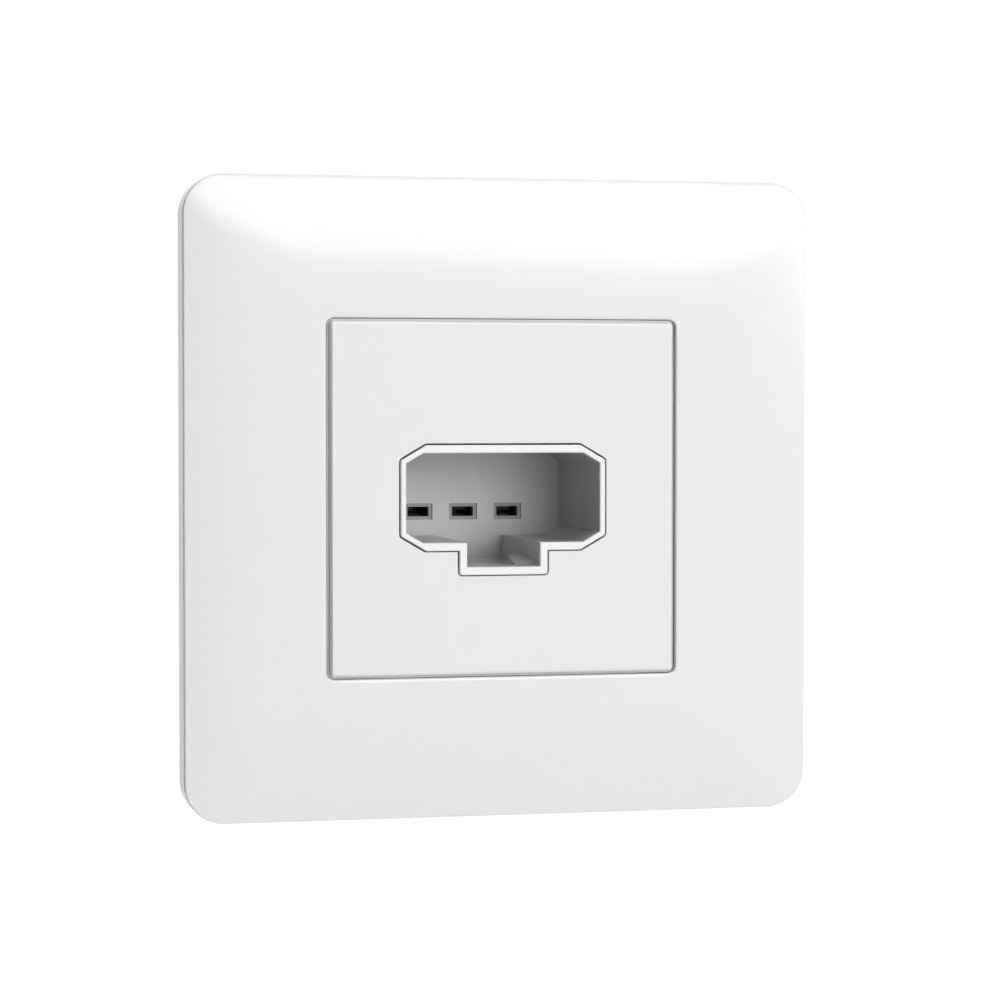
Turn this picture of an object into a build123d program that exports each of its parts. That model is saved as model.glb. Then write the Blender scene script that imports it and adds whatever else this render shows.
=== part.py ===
from build123d import *
from math import atan2, cos, sin, sqrt
import os

# Flush wall outlet for a luminaire plug, in millimetres.
# X runs to the right seen from the front and Z runs up. The front faces -Y, and Y = 0 is the wall's surface.
# Heights are measured out of the wall towards the room, so what lies inside the wall has a negative height.

# Mounting frame, screwed to the wall box
frame_side_gap = 3.45
frame_corner = 4.0
frame_thickness = 1.2
box_screw_spacing = 60.0
box_slot_width = 4.2
box_slot_length = 9.0

# Insert, the square front of the mechanism
insert_size = 45.0
insert_height = 6.45
insert_corner = 0.6
insert_edge_bevel = 0.35
insert_step_depth = 1.0
insert_step_gap = 0.1
insert_face = 1.8
insert_skirt = 1.2

# Cover plate around the insert
plate_size = 81.5
plate_corner = 5.0
plate_edge_height = 5.4
plate_edge_bevel = 0.15
plate_bevel_slope = 45
plate_swell = 1.0
plate_swell_power = 6
plate_front_steps = 20
plate_front_margin = 0.4
plate_front_accuracy = 0.001
plate_wall = 1.8
plate_collar_wall = 1.2
plate_collar_gap = 0.2
plate_opening_corner = 1.0
plate_opening_bevel = 0.4
insert_gap = 0.35
groove_height = 4.5
groove_width = 0.55
groove_depth = 0.5

# Clip legs of the plate and the insert, which catch behind the frame
clip_width = 6.0
clip_reach = 2.2
clip_barb = 0.5
clip_catch_gap = 0.15
clip_root = 0.4
clip_window_end_gap = 0.4
clip_window_catch_gap = 0.1
clip_window_spring_gap = 0.7
plate_clip_offset = 13.0
insert_clip_offset = 11.0

# Plug socket: an eight-sided well with a keying channel under its middle
socket_rim_height = 6.6
socket_depth = 20.6
socket_draft = 0.4
socket_half_width = 12.70
socket_top = 5.75
socket_bottom = 5.69
socket_chamfer_width = 2.24
socket_chamfer_rise = 1.30
socket_key_half = 4.79
socket_key_bottom = 8.80
socket_side_wall = 0.68
socket_top_wall = 1.0
socket_key_wall = 0.97
socket_back_wall = 1.5
socket_side_round = 0.45
socket_key_round = 0.4
socket_inner_round = 0.1
socket_rim_bevel = 0.12
socket_rim_slope = 45
socket_cutout_gap = 0.22

# Contact slots in the back wall of the well
slot_count = 3
slot_pitch = 6.10
slot_row_offset = -0.69
slot_height = -2.38
slot_width = 2.90
slot_thickness = 1.30
slot_recess_margin = 0.45
slot_recess_depth = 0.32

# Ramps on the floor of the keying channel
latch_width = 2.45
latch_front = 3.1
latch_length = 4.35
latch_rise = 1.2
ledge_right = 0.9
ledge_length = 13.0
ledge_rise = 0.5

# Mechanism housing behind the frame, as wide as the insert's clips leave room for
housing_side_gap = 0.8
housing_tall = 31.0
housing_centre = 2.5
housing_corner = 2.0
housing_wall = 1.5
flange_overhang = 1.0
flange_thickness = 1.6
window_gap = 0.5
carrier_depth = 9.3
carrier_front = 1.2
carrier_rib = 0.9
carrier_slot_gap = 0.2
rear_cover_thickness = 2.2

# Screws of the mechanism: a pair from the front and a pair from behind share two bosses
boss_radius = 2.2
screw_drop = 4.5
screw_end_wall = 1.0
screw_radius = 1.0
screw_pilot_gap = 0.05
screw_clearance = 0.25
screw_head_radius = 1.9
screw_head_height = 1.2
screw_drive_width = 0.6
screw_drive_depth = 0.6

# Contacts, folded from strip
strip = 0.5
bend_inside = 0.3
leaf_width = 2.6
leaf_mouth = 1.35
leaf_pinch = 0.62
leaf_root = 1.0
leaf_mouth_length = 1.5
contact_clearance = 0.2
neck_gap = 0.3
neck_width = 2.2
shoulder_height = 3.7
tongue_width = 4.6
tongue_length = 6.2

# Clamp terminals on the contacts' tongues
terminal_end_gap = 0.15
cage_wall = 1.1
cage_roof = 2.0
cage_room = 4.8
cage_length = 6.0
cage_round = 0.5
cage_side_gap = 0.2
cage_back_gap = 0.4
cage_guide_gap = 0.15
pressure_plate_thickness = 0.9
pressure_plate_gap = 0.2
terminal_screw_radius = 1.5
terminal_screw_gap = 0.05
terminal_screw_travel = 2.2
terminal_head_radius = 2.3
terminal_head_height = 1.8
terminal_head_gap = 0.1
terminal_access_gap = 0.3
wire_entry_radius = 1.5
wire_entry_land = 0.15
wire_entry_funnel = 0.7
wire_entry_gap = 0.15

# Places in the wall's plane that follow from the sizes above
plate_half = plate_size / 2
frame_size = plate_size - 2 * (plate_wall + frame_side_gap)
insert_half = insert_size / 2
opening_half = insert_half + insert_gap
insert_step_half = opening_half - insert_step_gap
insert_step_corner = insert_corner + insert_step_half - insert_half
socket_outer_half = socket_half_width + socket_side_wall
socket_outer_top = socket_top + socket_top_wall
socket_outer_low = -socket_key_bottom - socket_top_wall
housing_width = insert_size - 2 * (insert_skirt + housing_side_gap + flange_overhang)
housing_top = housing_centre + housing_tall / 2
housing_low = housing_centre - housing_tall / 2
screw_x = (socket_outer_half + housing_width / 2) / 2
screw_z = housing_centre - screw_drop
screw_places = [(screw_x, screw_z), (-screw_x, screw_z)]
cage_width = tongue_width + 2 * (cage_side_gap + cage_wall)
guide_width = cage_width + 2 * (cage_guide_gap + carrier_rib)
terminal_pitch = housing_width / 2 - housing_wall - terminal_end_gap - guide_width / 2
slot_x = [slot_row_offset + slot_pitch * (i - (slot_count - 1) / 2) for i in range(slot_count)]
terminal_x = [terminal_pitch * (i - (slot_count - 1) / 2) for i in range(slot_count)]

# Heights out of the wall that follow from them
collar_foot = frame_thickness + plate_collar_gap
well_floor = socket_rim_height - socket_depth
socket_back = well_floor - socket_back_wall
carrier_back = socket_back - carrier_depth
rear_face = carrier_back - rear_cover_thickness
screw_grip = (-socket_back - screw_end_wall) / 2
web_back = carrier_back + contact_clearance
web_front = web_back + strip
leaf_tip = socket_back - carrier_front - contact_clearance - strip
cage_back = web_front + cage_back_gap
cage_middle = cage_back + cage_length / 2

# Levels of a terminal along Z, from the screw's head under the top wall down to the contact's fold
head_seat = housing_top - housing_wall - terminal_head_gap - terminal_head_height
cage_top = head_seat - terminal_screw_travel
cage_floor = cage_top - cage_roof - cage_room
cage_bottom = cage_floor - cage_wall
pressure_plate_top = cage_floor + cage_room - pressure_plate_gap / 2
tongue_top = cage_floor + strip
shoulder_top = tongue_top - bend_inside - strip
shoulder_foot = shoulder_top - shoulder_height
wire_entry_z = tongue_top + wire_entry_gap + wire_entry_radius

os.makedirs("parts", exist_ok=True)


def wall_plane(height):
    """Plane parallel to the wall at a height in front of it; its own X is X and its own Y is Z."""
    return Plane.XZ.offset(height)


def save(part, name):
    """Label a finished piece and write it under its own name."""
    part.label = name
    export_step(part, f"parts/{name}.step")


def keyed_outline(grow_side, grow_top, grow_key, side_round, key_round):
    """Outline of the plug opening: eight sides, with a channel hanging from the middle of the lower one.

    The growths move the sides and slants, the top and bottom, and the channel's sides outwards.
    """
    slant = atan2(socket_chamfer_rise, socket_chamfer_width)
    side = socket_half_width + grow_side
    shoulder = socket_half_width - socket_chamfer_width + (grow_side - grow_top * cos(slant)) / sin(slant)
    slant_foot = socket_chamfer_rise - grow_side * (1 - sin(slant)) / cos(slant)
    top = socket_top + grow_top
    bottom = -socket_bottom - grow_top
    key = socket_key_half + grow_key
    key_bottom = -socket_key_bottom - grow_top
    right = [
        (shoulder, top),
        (side, socket_top - slant_foot),
        (side, slant_foot - socket_bottom),
        (shoulder, bottom),
        (key, bottom),
        (key, key_bottom),
    ]
    left = [(-x, z) for x, z in reversed(right)]
    with BuildSketch() as outline:
        with BuildLine():
            Polyline(*right, *left, close=True)
        make_face()
        corners = outline.vertices()
        fillet([v for v in corners if abs(v.X) > (shoulder + side) / 2], side_round)
        corners = outline.vertices()
        fillet([v for v in corners if v.Y < key_bottom + key_round / 2], key_round)
    return outline.sketch


def clip_leg(root, outward, thickness):
    """Clip leg that passes through a window of the frame and catches behind it.

    Root is the middle of the leg's inner face in the wall's plane, and outward is the way its barb points.
    """
    across = Vector(*outward).cross(Vector(0, -1, 0))
    with BuildPart() as leg:
        with BuildSketch(Plane(origin=root, x_dir=outward, z_dir=across)):
            with BuildLine():
                Polyline(
                    (0, frame_thickness + clip_root),
                    (0, -clip_reach),
                    (thickness / 2, -clip_reach),
                    (thickness + clip_barb, -clip_reach / 2),
                    (thickness + clip_barb, -clip_catch_gap),
                    (thickness, -clip_catch_gap),
                    (thickness, frame_thickness + clip_root),
                    close=True,
                )
            make_face()
        extrude(amount=clip_width / 2, both=True)
    return leg.part


def strip_section(points):
    """Section of bent strip: the line through the points with its bends rounded, thickened to its left."""
    with BuildSketch() as section:
        with BuildLine():
            FilletPolyline(*points, radius=bend_inside + strip)
            offset(amount=strip, side=Side.LEFT)
        make_face()
    return section.sketch


def outline_share(x, z):
    """Scale at which the plate's outline, a rounded square about its middle, passes through a point."""
    far, near = max(abs(x), abs(z)), min(abs(x), abs(z))
    straight = plate_half - plate_corner
    if near * plate_half <= far * straight:
        return far / plate_half
    along = straight * (far + near)
    square = far**2 + near**2
    corner_part = sqrt(along**2 - square * (2 * straight**2 - plate_corner**2))
    return square / (along + corner_part)


def front_height(x, z):
    """Height of the plate's front: it swells from its edge as 1 - s^n, s being the outline's scale there."""
    return plate_edge_height + plate_swell * (1 - outline_share(x, z) ** plate_swell_power)


def plate_front():
    """Face of the plate's front, a spline through points on it, reaching a little past the outline."""
    reach = plate_half + plate_front_margin
    marks = [reach * (2 * i / plate_front_steps - 1) for i in range(plate_front_steps + 1)]
    points = [[Vector(x, -front_height(x, z), z) for z in marks] for x in marks]
    return Face.make_surface_from_array_of_points(points, tol=plate_front_accuracy)


# Cover plate: a hollow pillow with a bevelled edge and a collar round its square opening
with BuildPart() as cover_plate:
    with BuildSketch(wall_plane(0)):
        RectangleRounded(plate_size, plate_size, plate_corner)
    extrude(amount=plate_edge_height - plate_edge_bevel)
    edge_face = cover_plate.faces().sort_by(Axis.Y)[0]
    extrude(edge_face, amount=2 * plate_edge_bevel + plate_swell, taper=plate_bevel_slope)
    split(bisect_by=plate_front(), keep=Keep.BOTTOM)
    with BuildSketch(wall_plane(0)):
        RectangleRounded(plate_size - 2 * plate_wall, plate_size - 2 * plate_wall, plate_corner - plate_wall)
    extrude(amount=plate_edge_height - plate_wall, mode=Mode.SUBTRACT)
    with BuildSketch(wall_plane(collar_foot)):
        Rectangle(2 * (opening_half + plate_collar_wall), 2 * (opening_half + plate_collar_wall))
    extrude(amount=plate_edge_height - plate_wall / 2 - collar_foot)
    with BuildSketch(wall_plane(0)):
        RectangleRounded(2 * opening_half, 2 * opening_half, plate_opening_corner)
    extrude(amount=plate_edge_height + plate_swell, mode=Mode.SUBTRACT)
    mouth = opening_half + 2 * plate_opening_bevel
    with BuildSketch(wall_plane(front_height(opening_half, 0) + plate_opening_bevel)):
        RectangleRounded(2 * mouth, 2 * mouth, plate_opening_corner + 2 * plate_opening_bevel)
    extrude(amount=-2 * plate_opening_bevel, taper=plate_bevel_slope, mode=Mode.SUBTRACT)
    with BuildSketch(wall_plane(groove_height)):
        RectangleRounded(plate_size, plate_size, plate_corner)
        offset(amount=-groove_depth, mode=Mode.SUBTRACT)
    extrude(amount=groove_width, mode=Mode.SUBTRACT)
    for side in (1, -1):
        for x in (plate_clip_offset, -plate_clip_offset):
            add(clip_leg((x, 0, side * opening_half), (0, 0, side), plate_collar_wall))
save(cover_plate.part, "cover_plate")

# Insert: a shallow tray on the frame, with the keyed cut-out and a step that closes the gap round it
with BuildPart() as insert_cover:
    with BuildSketch(wall_plane(frame_thickness)):
        RectangleRounded(2 * insert_step_half, 2 * insert_step_half, insert_step_corner)
    extrude(amount=insert_height - insert_step_depth - frame_thickness)
    with BuildSketch(wall_plane(frame_thickness)):
        RectangleRounded(insert_size, insert_size, insert_corner)
    extrude(amount=insert_height - frame_thickness)
    chamfer(insert_cover.faces().sort_by(Axis.Y)[0].edges(), insert_edge_bevel)
    with BuildSketch(wall_plane(frame_thickness)):
        Rectangle(insert_size - 2 * insert_skirt, insert_size - 2 * insert_skirt)
    extrude(amount=insert_height - insert_face - frame_thickness, mode=Mode.SUBTRACT)
    with BuildSketch(wall_plane(insert_height)):
        add(
            keyed_outline(
                socket_side_wall + socket_cutout_gap,
                socket_top_wall + socket_cutout_gap,
                socket_key_wall + socket_cutout_gap,
                socket_side_round + socket_cutout_gap,
                socket_key_round + socket_cutout_gap,
            )
        )
    extrude(amount=-insert_face, mode=Mode.SUBTRACT)
    for side in (1, -1):
        for z in (insert_clip_offset, -insert_clip_offset):
            add(clip_leg((side * (insert_half - insert_skirt), 0, z), (side, 0, 0), insert_skirt))
save(insert_cover.part, "insert_cover")

# Mounting frame: pressed sheet with the window, the box slots and the clip windows
with BuildPart() as mounting_frame:
    with BuildSketch(wall_plane(0)):
        RectangleRounded(frame_size, frame_size, frame_corner)
        with Locations((0, (socket_outer_top + socket_outer_low) / 2)):
            Rectangle(
                2 * (socket_outer_half + window_gap),
                socket_outer_top - socket_outer_low + 2 * window_gap,
                mode=Mode.SUBTRACT,
            )
        with Locations((box_screw_spacing / 2, 0), (-box_screw_spacing / 2, 0)):
            SlotOverall(box_slot_length, box_slot_width, mode=Mode.SUBTRACT)
        with Locations((0, box_screw_spacing / 2), (0, -box_screw_spacing / 2)):
            SlotOverall(box_slot_length, box_slot_width, rotation=90, mode=Mode.SUBTRACT)
        window_length = clip_width + 2 * clip_window_end_gap
        window_shift = clip_window_catch_gap - clip_window_spring_gap
        window_gaps = clip_window_catch_gap + clip_window_spring_gap
        with GridLocations(2 * plate_clip_offset, 2 * opening_half + plate_collar_wall + window_shift, 2, 2):
            Rectangle(window_length, plate_collar_wall + window_gaps, mode=Mode.SUBTRACT)
        with GridLocations(insert_size - insert_skirt + window_shift, 2 * insert_clip_offset, 2, 2):
            Rectangle(insert_skirt + window_gaps, window_length, mode=Mode.SUBTRACT)
        with Locations(*screw_places):
            Circle(screw_radius + screw_clearance, mode=Mode.SUBTRACT)
    extrude(amount=frame_thickness)
save(mounting_frame.part, "mounting_frame")

# Socket body: drafted well, flange behind the frame, skirt and screw bosses
with BuildPart() as socket_body:
    with BuildSketch(wall_plane(-flange_thickness)):
        with Locations((0, housing_centre)):
            RectangleRounded(
                housing_width + 2 * flange_overhang, housing_tall + 2 * flange_overhang, housing_corner
            )
    extrude(amount=flange_thickness)
    with BuildSketch(wall_plane(socket_back)):
        with Locations((0, housing_centre)):
            RectangleRounded(housing_width, housing_tall, housing_corner)
            Rectangle(
                housing_width - 2 * housing_wall, housing_tall - 2 * housing_wall, mode=Mode.SUBTRACT
            )
        with Locations(*screw_places):
            Circle(boss_radius)
        add(
            keyed_outline(
                socket_side_wall, socket_top_wall, socket_key_wall, socket_side_round, socket_key_round
            )
        )
    extrude(amount=-socket_back)
    with BuildSketch(wall_plane(0)):
        add(
            keyed_outline(
                socket_side_wall, socket_top_wall, socket_key_wall, socket_side_round, socket_key_round
            )
        )
    extrude(amount=socket_rim_height - socket_rim_bevel)
    extrude(socket_body.faces().sort_by(Axis.Y)[0], amount=socket_rim_bevel, taper=socket_rim_slope)
    mouth_round = socket_inner_round + socket_rim_bevel
    with BuildSketch(wall_plane(socket_rim_height)):
        add(keyed_outline(socket_rim_bevel, socket_rim_bevel, socket_rim_bevel, mouth_round, mouth_round))
    extrude(amount=-socket_rim_bevel, taper=socket_rim_slope, mode=Mode.SUBTRACT)
    with BuildSketch(wall_plane(socket_rim_height - socket_rim_bevel)):
        add(keyed_outline(0, 0, 0, socket_inner_round, socket_inner_round))
    extrude(amount=socket_rim_bevel - socket_depth, taper=socket_draft, mode=Mode.SUBTRACT)
    for x in slot_x:
        with BuildSketch(wall_plane(well_floor)):
            with Locations((x, slot_height)):
                Rectangle(slot_width + 2 * slot_recess_margin, slot_thickness + 2 * slot_recess_margin)
        extrude(amount=-slot_recess_depth, mode=Mode.SUBTRACT)
        with BuildSketch(wall_plane(well_floor)):
            with Locations((x, slot_height)):
                Rectangle(slot_width, slot_thickness)
        extrude(amount=-socket_back_wall, mode=Mode.SUBTRACT)
    for seat, depth in ((socket_back, screw_grip), (0, -screw_grip)):
        with BuildSketch(wall_plane(seat)):
            with Locations(*screw_places):
                Circle(screw_radius + screw_pilot_gap)
        extrude(amount=depth, mode=Mode.SUBTRACT)
    # Latch ramp, on the right of the channel's floor, and the shallow ledge on its left
    with BuildSketch(Plane.YZ.offset(socket_key_half - latch_width)):
        with BuildLine():
            Polyline(
                (latch_front - socket_rim_height, -socket_key_bottom - socket_top_wall / 2),
                (latch_front - socket_rim_height, -socket_key_bottom),
                (latch_front - socket_rim_height + latch_length, -socket_key_bottom + latch_rise),
                (latch_front - socket_rim_height + latch_length, -socket_key_bottom - socket_top_wall / 2),
                close=True,
            )
        make_face()
    extrude(amount=latch_width + socket_key_wall / 2)
    with BuildSketch(Plane.YZ.offset(-socket_key_half - socket_key_wall / 2)):
        with BuildLine():
            Polyline(
                (-well_floor, -socket_key_bottom - socket_top_wall / 2),
                (-well_floor - ledge_length, -socket_key_bottom - socket_top_wall / 2),
                (-well_floor - ledge_length, -socket_key_bottom),
                (-well_floor, -socket_key_bottom + ledge_rise),
                close=True,
            )
        make_face()
    extrude(amount=socket_key_half + socket_key_wall / 2 + ledge_right)
save(socket_body.part, "socket_body")

# Contact carrier: a tray with chambers for the contacts and pockets for the terminals
with BuildPart() as contact_carrier:
    with BuildSketch(wall_plane(carrier_back)):
        with Locations((0, housing_centre)):
            RectangleRounded(housing_width, housing_tall, housing_corner)
    extrude(amount=carrier_depth)
    with BuildSketch(wall_plane(carrier_back)):
        with Locations((0, housing_centre)):
            Rectangle(housing_width - 2 * housing_wall, housing_tall - 2 * housing_wall)
    extrude(amount=carrier_depth - carrier_front, mode=Mode.SUBTRACT)
    # Posts round the housing screws
    with BuildSketch(wall_plane(carrier_back)):
        with Locations(*screw_places):
            Rectangle(2 * boss_radius, 2 * boss_radius)
    extrude(amount=carrier_depth)
    # Ribs between the contact chambers and shelves under the terminals
    rib_height = socket_back - carrier_front / 2 - (web_front + contact_clearance)
    shelf_top = cage_bottom - cage_guide_gap
    with BuildSketch(wall_plane(web_front + contact_clearance)):
        for i in range(slot_count + 1):
            with Locations((slot_row_offset + slot_pitch * (i - slot_count / 2), (shelf_top + housing_low) / 2)):
                Rectangle(carrier_rib, shelf_top - housing_low - housing_wall)
        for x in terminal_x:
            with Locations((x, shelf_top - carrier_rib / 2)):
                Rectangle(guide_width, carrier_rib)
            guide = (guide_width - carrier_rib) / 2
            with Locations((x - guide, (cage_bottom + cage_top) / 2), (x + guide, (cage_bottom + cage_top) / 2)):
                Rectangle(carrier_rib, cage_top - cage_bottom + 2 * cage_guide_gap)
    extrude(amount=rib_height)
    for x in slot_x:
        with BuildSketch(wall_plane(socket_back)):
            with Locations((x, slot_height)):
                Rectangle(slot_width + 2 * carrier_slot_gap, slot_thickness + 2 * carrier_slot_gap)
        extrude(amount=-carrier_front, mode=Mode.SUBTRACT)
    with BuildSketch(wall_plane(carrier_back)):
        with Locations(*screw_places):
            Circle(screw_radius + screw_clearance)
    extrude(amount=carrier_depth, mode=Mode.SUBTRACT)
    # Ways to the terminal screws through the top wall
    access_way = 2 * (terminal_head_radius + terminal_access_gap)
    with BuildSketch(Plane.XY.offset(housing_top)):
        with Locations(*[(x, -cage_middle) for x in terminal_x]):
            Rectangle(access_way, access_way)
    extrude(amount=-housing_wall, mode=Mode.SUBTRACT)
save(contact_carrier.part, "contact_carrier")

# Rear cover with sunk screw seats and round conductor entries in square funnels
funnel_base = 2 * (wire_entry_radius + wire_entry_land)
with BuildPart() as rear_cover:
    with BuildSketch(wall_plane(rear_face)):
        with Locations((0, housing_centre)):
            RectangleRounded(housing_width, housing_tall, housing_corner)
    extrude(amount=rear_cover_thickness)
    with BuildSketch(wall_plane(rear_face)):
        with Locations(*screw_places):
            Circle(screw_head_radius + screw_clearance)
    extrude(amount=screw_head_height, mode=Mode.SUBTRACT)
    with BuildSketch(wall_plane(rear_face)):
        with Locations(*screw_places):
            Circle(screw_radius + screw_clearance)
        with Locations(*[(x, wire_entry_z) for x in terminal_x]):
            Circle(wire_entry_radius)
    extrude(amount=rear_cover_thickness, mode=Mode.SUBTRACT)
    with BuildSketch(wall_plane(rear_face)):
        with Locations(*[(x, wire_entry_z) for x in terminal_x]):
            Rectangle(funnel_base, funnel_base)
    extrude(amount=wire_entry_funnel, mode=Mode.SUBTRACT)
    rims = rear_cover.faces().sort_by(Axis.Y)[-1].inner_wires().edges().filter_by(GeomType.LINE)
    chamfer(rims, wire_entry_funnel - wire_entry_land)
save(rear_cover.part, "rear_cover")


def contact(slot, terminal, side):
    """Contact folded from strip: a web behind the slot, two sprung leaves, and a neck to the terminal's tongue.

    The web lies against the rear cover. The leaves fold forwards from its upper and lower edges, pinch and
    flare to a mouth behind the slot. The neck rises on one side of the leaves to a shoulder, and the tongue
    folds forwards from the shoulder into the terminal.
    """
    web_start = slot + side * leaf_width / 2
    neck_start = web_start + side * neck_gap
    neck_end = neck_start + side * neck_width
    shoulder_marks = (neck_start, neck_end, terminal - tongue_width / 2, terminal + tongue_width / 2)
    shoulder_low, shoulder_high = min(shoulder_marks), max(shoulder_marks)
    web_low = slot_height - leaf_root + bend_inside + strip
    web_high = slot_height + leaf_root - bend_inside - strip
    with BuildPart() as folded:
        with BuildSketch(wall_plane(web_back)):
            with Locations(((web_start + neck_end) / 2, slot_height)):
                Rectangle(neck_gap + neck_width, web_high - web_low)
            with Locations(((neck_start + neck_end) / 2, (web_low + shoulder_foot) / 2)):
                Rectangle(neck_width, shoulder_foot - web_low)
            with Locations(((shoulder_low + shoulder_high) / 2, (shoulder_foot + shoulder_top) / 2)):
                Rectangle(shoulder_high - shoulder_low, shoulder_height)
        extrude(amount=strip)
        with BuildSketch(Plane.YZ.offset(terminal - tongue_width / 2)):
            add(
                strip_section(
                    [
                        (-web_back, shoulder_foot),
                        (-web_back, tongue_top),
                        (-web_front - tongue_length, tongue_top),
                    ]
                )
            )
        extrude(amount=tongue_width)
        with BuildSketch(Plane.YZ.offset(slot - leaf_width / 2)):
            add(
                strip_section(
                    [
                        (-leaf_tip, slot_height - leaf_mouth - strip),
                        (-leaf_tip + leaf_mouth_length, slot_height - leaf_pinch - strip),
                        (-web_back, slot_height - leaf_root),
                        (-web_back, slot_height + leaf_root),
                        (-leaf_tip + leaf_mouth_length, slot_height + leaf_pinch + strip),
                        (-leaf_tip, slot_height + leaf_mouth + strip),
                    ]
                )
            )
        extrude(amount=leaf_width)
    return folded.part


def terminal_cage(x):
    """Clamp cage: a square sleeve along the conductor, with a thick roof tapped for its screw."""
    with BuildPart() as cage:
        with BuildSketch(wall_plane(cage_back)):
            with Locations((x, (cage_bottom + cage_top) / 2)):
                Rectangle(cage_width, cage_top - cage_bottom)
            with Locations((x, cage_floor + cage_room / 2)):
                Rectangle(cage_width - 2 * cage_wall, cage_room, mode=Mode.SUBTRACT)
        extrude(amount=cage_length)
        outer = cage.edges().filter_by(Axis.Y).group_by(lambda edge: abs(edge.center().X - x))[-1]
        fillet(outer, cage_round)
        with BuildSketch(Plane.XY.offset(cage_top)):
            with Locations((x, -cage_middle)):
                Circle(terminal_screw_radius + terminal_screw_gap)
        extrude(amount=-cage_roof, mode=Mode.SUBTRACT)
    return cage.part


def pressure_plate(x):
    """Plate that the terminal's screw presses on the conductor."""
    with BuildPart() as plate:
        with BuildSketch(Plane.XY.offset(pressure_plate_top - pressure_plate_thickness)):
            with Locations((x, -cage_middle)):
                Rectangle(tongue_width, cage_length - 2 * cage_side_gap)
        extrude(amount=pressure_plate_thickness)
    return plate.part


def terminal_screw(x):
    """Slotted cheese-head screw, backed out so that the terminal stands open."""
    with BuildPart() as screw:
        with BuildSketch(Plane.XY.offset(pressure_plate_top)):
            with Locations((x, -cage_middle)):
                Circle(terminal_screw_radius)
        extrude(amount=head_seat - pressure_plate_top)
        with BuildSketch(Plane.XY.offset(head_seat)):
            with Locations((x, -cage_middle)):
                Circle(terminal_head_radius)
        extrude(amount=terminal_head_height)
        with BuildSketch(Plane.XY.offset(head_seat + terminal_head_height)):
            with Locations((x, -cage_middle)):
                Rectangle(2 * terminal_head_radius, screw_drive_width)
        extrude(amount=-screw_drive_depth, mode=Mode.SUBTRACT)
    return screw.part


def slotted_screws(seat, clamped, heading):
    """Pair of slotted screws with their heads on a seat and clamped material between it and their bosses.

    Heading 1 faces the room, and -1 the wall box.
    """
    shank = clamped + screw_grip - screw_clearance
    head_face = seat + heading * screw_head_height
    with BuildPart() as screws:
        with BuildSketch(wall_plane(seat)):
            with Locations(*screw_places):
                Circle(screw_head_radius)
        extrude(amount=heading * screw_head_height)
        with BuildSketch(wall_plane(seat)):
            with Locations(*screw_places):
                Circle(screw_radius)
        extrude(amount=-heading * shank)
        with BuildSketch(wall_plane(head_face)):
            with Locations(*screw_places):
                Rectangle(2 * screw_head_radius, screw_drive_width)
        extrude(amount=-heading * screw_drive_depth, mode=Mode.SUBTRACT)
    return screws.part


# Contacts and terminals, from left to right seen from the front
for name, slot, terminal, side in zip(("live", "earth", "neutral"), slot_x, terminal_x, (-1, 1, 1)):
    save(contact(slot, terminal, side), f"contact_{name}")
    save(terminal_cage(terminal), f"terminal_{name}")
    save(pressure_plate(terminal), f"pressure_plate_{name}")
    save(terminal_screw(terminal), f"terminal_screw_{name}")

# Screws that close the housing from behind, and those that hold it to the frame
rear_seat = rear_face + screw_head_height
save(slotted_screws(rear_seat, socket_back - rear_seat, -1), "housing_screws")
save(slotted_screws(frame_thickness, frame_thickness, 1), "frame_screws")
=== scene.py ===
"""Looks of a white flush wall outlet for a luminaire plug, built round its packed construction.

Lengths are in metres. X runs to the right, Z up, and the front faces -Y with the wall at Y = 0.
A height is measured out of the wall, so that Y = -height.
"""

from math import atan2, cos, pi, radians, sin

import bpy
import numpy as np
from bpy.props import FloatProperty, FloatVectorProperty, IntProperty, PointerProperty
from bpy.types import Operator, Panel, PropertyGroup
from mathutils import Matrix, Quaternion, Vector


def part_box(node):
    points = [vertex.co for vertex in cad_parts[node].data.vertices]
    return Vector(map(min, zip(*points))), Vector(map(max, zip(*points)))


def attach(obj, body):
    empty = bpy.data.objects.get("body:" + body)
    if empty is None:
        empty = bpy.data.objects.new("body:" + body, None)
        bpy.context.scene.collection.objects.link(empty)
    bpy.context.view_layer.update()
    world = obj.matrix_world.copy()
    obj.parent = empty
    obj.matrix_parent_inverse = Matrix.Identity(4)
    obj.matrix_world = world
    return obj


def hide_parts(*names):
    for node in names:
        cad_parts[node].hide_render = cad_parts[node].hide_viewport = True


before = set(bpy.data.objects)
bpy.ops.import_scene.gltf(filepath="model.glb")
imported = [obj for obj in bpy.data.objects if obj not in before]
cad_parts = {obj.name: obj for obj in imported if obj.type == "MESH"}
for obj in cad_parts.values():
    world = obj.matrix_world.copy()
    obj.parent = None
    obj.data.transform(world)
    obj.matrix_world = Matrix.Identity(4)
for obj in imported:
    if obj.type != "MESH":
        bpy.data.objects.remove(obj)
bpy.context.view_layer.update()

bl_info = {
    "name": "Lighting outlet",
    "version": (1, 0, 0),
    "blender": (4, 5, 0),
    "location": "View3D > Sidebar > Outlet",
    "description": "Dresses a flush lighting outlet with smooth mouldings, finishes and a studio stage",
    "category": "Object",
}

MM = 0.001
SMOOTH_ANGLE = radians(32)
CARRIER = "root"

# Tolerances
TINY = 1e-12
PARALLEL = 1e-15
SAME_POINT = 1e-9
SAME_BEARING = 1e-5
EDGE_SLACK = 1e-6

# Spacing of the front's rows, width of the strips beside roundings, centre of the insert's rays
FRONT_CROWDING = 0.35
HOLD = 0.06 * MM
RAY_CENTRE = np.array([0.0, -1.0 * MM])

# Relief and refraction of the finishes
GRAIN_DEPTH = 0.02 * MM
PIT_DEPTH = 0.04 * MM
PLASTIC_IOR = 1.5
GLASS_FILLED_IOR = 1.52

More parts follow.
